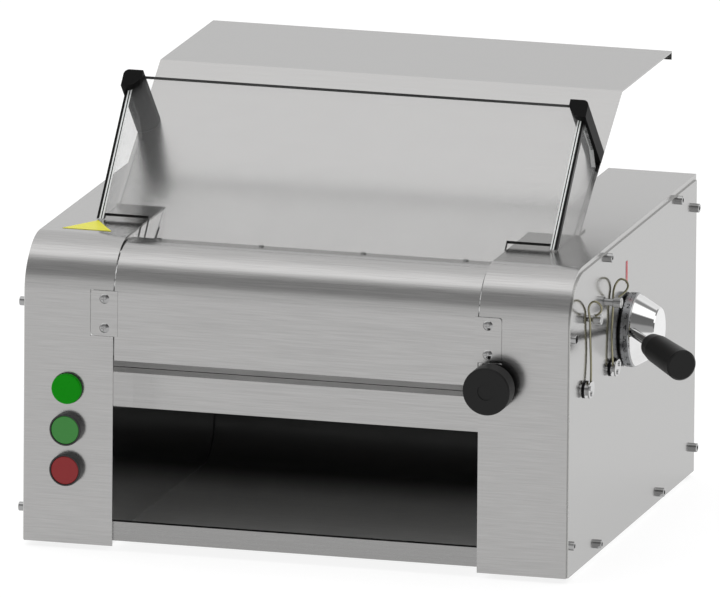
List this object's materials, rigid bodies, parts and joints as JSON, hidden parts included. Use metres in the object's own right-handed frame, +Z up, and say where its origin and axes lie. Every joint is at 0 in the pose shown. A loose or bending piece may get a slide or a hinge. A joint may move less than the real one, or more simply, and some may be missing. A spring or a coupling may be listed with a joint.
{
  "type": "tabletop dough sheeter",
  "caption": "Motor-driven tabletop machine that rolls dough into a sheet: feed chute with a clear guard, two rollers, thickness dial, push buttons and an outlet tray.",
  "frame": {"origin": "on the surface that the feet stand on, in the middle of the four feet", "axes": "+X to the operator's right along the rollers, +Y to the back, +Z up"},
  "size_m": [0.6191, 0.529, 0.4091],
  "materials": {
    "brushed_sheet": "brushed across the machine",
    "polished_steel": "polished",
    "roller_steel": "ground",
    "machined_steel": "machined",
    "cast_iron": "as cast, teeth cut",
    "aluminium": "satin",
    "dial_grey": "anodised grey, engraved",
    "spring_wire": "drawn wire",
    "black_plastic": "fine texture",
    "rubber": "matt",
    "clear_sheet": "clear, slightly frosted acrylic",
    "green_lens": "translucent",
    "green_cap": "satin",
    "red_cap": "satin",
    "red_paint": "satin",
    "yellow_paint": "satin"
  },
  "bodies": {
    "housing": {"base_tray": "brushed_sheet", "bearing_housings": "machined_steel", "button_bezels": "black_plastic", "cable_gland": "black_plastic", "chute_screws": "polished_steel", "clip_lugs": "polished_steel", "clip_studs": "polished_steel", "contact_blocks": "black_plastic", "cover_rail": "brushed_sheet", "cover_rivets": "polished_steel", "cover_screws": "polished_steel", "dial_flange": "black_plastic", "drive_belt": "rubber", "feed_chute": "brushed_sheet", "front_cover": "brushed_sheet", "front_roller_bearings": "machined_steel", "gearbox": "cast_iron", "index_mark": "red_paint", "interlock_switch": "black_plastic", "left_frame_plate": "brushed_sheet", "left_side_panel": "brushed_sheet", "left_tower_cover": "brushed_sheet", "motor": "aluminium", "motor_shelf": "brushed_sheet", "outlet_deflector": "brushed_sheet", "outlet_slide": "brushed_sheet", "panel_screws": "polished_steel", "pilot_body": "black_plastic", "pilot_lens": "green_lens", "rear_cover": "brushed_sheet", "right_frame_plate": "brushed_sheet", "right_side_panel": "brushed_sheet", "right_tower_cover": "brushed_sheet", "rubber_feet": "rubber", "scrapers": "roller_steel", "yellow_marker": "yellow_paint"},
    "front_roller": {"front_roller": "roller_steel", "front_roller_gear": "cast_iron", "roller_pulley": "aluminium"},
    "rear_roller": {"rear_roller": "roller_steel", "rear_roller_gear": "cast_iron"},
    "roller_carriage": {"bearing_blocks": "machined_steel", "rear_roller_bearings": "machined_steel"},
    "dial": {"adjuster_shaft": "polished_steel", "adjuster_cams": "machined_steel", "thickness_dial": "dial_grey", "dial_hub": "polished_steel", "lever_stem": "polished_steel", "lever_grip": "black_plastic"},
    "motor_drive": {"motor_pulley": "aluminium"},
    "guard": {"guard_screen": "clear_sheet", "guard_wings": "clear_sheet", "guard_bars": "black_plastic", "guard_rod": "polished_steel"},
    "lock": {"lock_knob": "black_plastic", "lock_screw": "polished_steel"},
    "start_button": {"green_button": "green_cap"},
    "stop_button": {"red_button": "red_cap"},
    "front_clip": {"front_spring_clip": "spring_wire"},
    "rear_clip": {"rear_spring_clip": "spring_wire"}
  },
  "joints": [
    {"name": "front_roller_spin", "type": "hinge", "parent": "housing", "child": "front_roller", "pos_m": [0, -0.1515, 0.213], "axis": [1, 0, 0], "continuous": true},
    {"name": "carriage_slide", "type": "slide", "parent": "housing", "child": "roller_carriage", "axis": [0, 1, 0], "range_m": [0, 0.005]},
    {"name": "rear_roller_spin", "type": "hinge", "parent": "roller_carriage", "child": "rear_roller", "pos_m": [0, -0.0911, 0.213], "axis": [1, 0, 0], "continuous": true},
    {"name": "motor_spin", "type": "hinge", "parent": "housing", "child": "motor_drive", "pos_m": [0, 0.1025, 0.19], "axis": [1, 0, 0], "continuous": true},
    {"name": "dial_turn", "type": "hinge", "parent": "housing", "child": "dial", "pos_m": [0, -0.0219, 0.1949], "axis": [-1, 0, 0], "range_deg": [0, 210]},
    {"name": "guard_hinge", "type": "hinge", "parent": "housing", "child": "guard", "pos_m": [0, -0.14813, 0.26212], "axis": [1, 0, 0], "range_deg": [0, 75]},
    {"name": "lock_turn", "type": "hinge", "parent": "housing", "child": "lock", "pos_m": [0.189, -0.2275, 0.1826], "axis": [0, 1, 0], "range_deg": [0, 720]},
    {"name": "start_press", "type": "slide", "parent": "housing", "child": "start_button", "axis": [0, 1, 0], "range_m": [0, 0.004], "stiffness_N_per_m": 800},
    {"name": "stop_press", "type": "slide", "parent": "housing", "child": "stop_button", "axis": [0, 1, 0], "range_m": [0, 0.004], "stiffness_N_per_m": 800},
    {"name": "front_clip_swing", "type": "hinge", "parent": "housing", "child": "front_clip", "pos_m": [0.263, -0.1626, 0.1707], "axis": [1, 0, 0], "range_deg": [0, 30], "stiffness_Nm_per_rad": 0.05},
    {"name": "rear_clip_swing", "type": "hinge", "parent": "housing", "child": "rear_clip", "pos_m": [0.263, -0.0836, 0.1709], "axis": [-1, 0, 0], "range_deg": [0, 30], "stiffness_Nm_per_rad": 0.05}
  ],
  "couplings": [
    {"joint": "rear_roller_spin", "follows": "front_roller_spin", "ratio": -1},
    {"joint": "motor_spin", "follows": "front_roller_spin", "ratio": 2},
    {"joint": "carriage_slide", "follows": "dial_turn", "m_per_rad": 0.001364}
  ]
}
